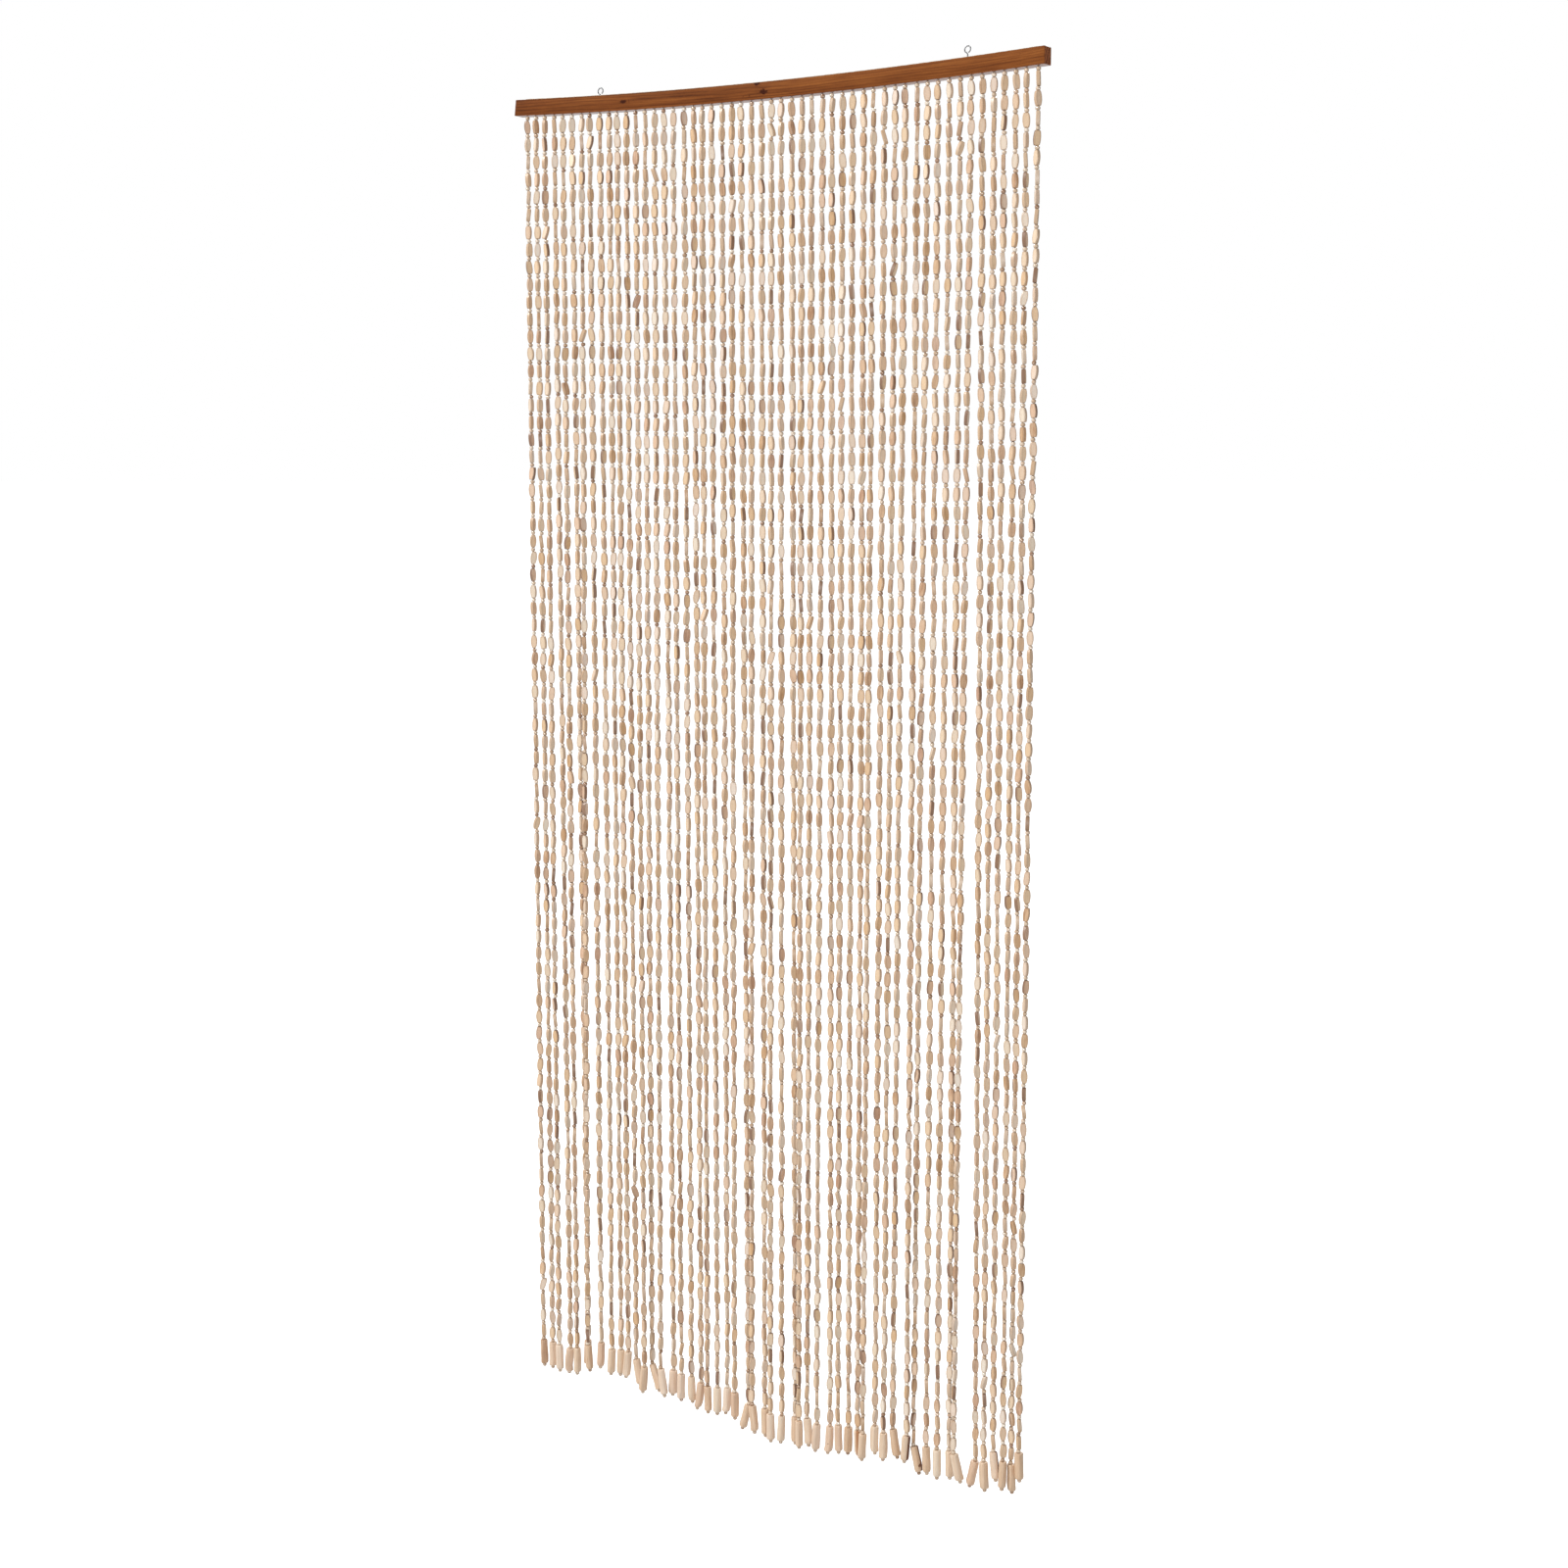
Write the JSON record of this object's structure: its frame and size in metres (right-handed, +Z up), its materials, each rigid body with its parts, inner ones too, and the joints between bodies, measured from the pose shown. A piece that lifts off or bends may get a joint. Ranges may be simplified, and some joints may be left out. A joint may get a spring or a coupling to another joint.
{
  "type": "wooden bead curtain",
  "caption": "Wooden bead curtain: strings of flat and round wooden beads with long end beads, laced through a drilled batten that hangs by screw eyes.",
  "frame": {"origin": "midway between the centres of the loops of the two screw eyes, where the curtain hangs", "axes": "+X along the batten to the right as seen from the room, +Y to the back, +Z up along the strands"},
  "size_m": [0.9029, 0.026, 2.082],
  "materials": {
    "stained_wood": "thin brown stain on a planed softwood stick, grain showing, satin, sawn ends darker",
    "zinc_wire": "dull zinc plated steel wire",
    "bead_wood": "pale lacquered wooden beads, each a little different in tone, with fine grain"
  },
  "bodies": {
    "root": {"batten": "stained_wood", "eye_left": "zinc_wire", "eye_right": "zinc_wire", "strands": "bead_wood"}
  },
  "joints": []
}
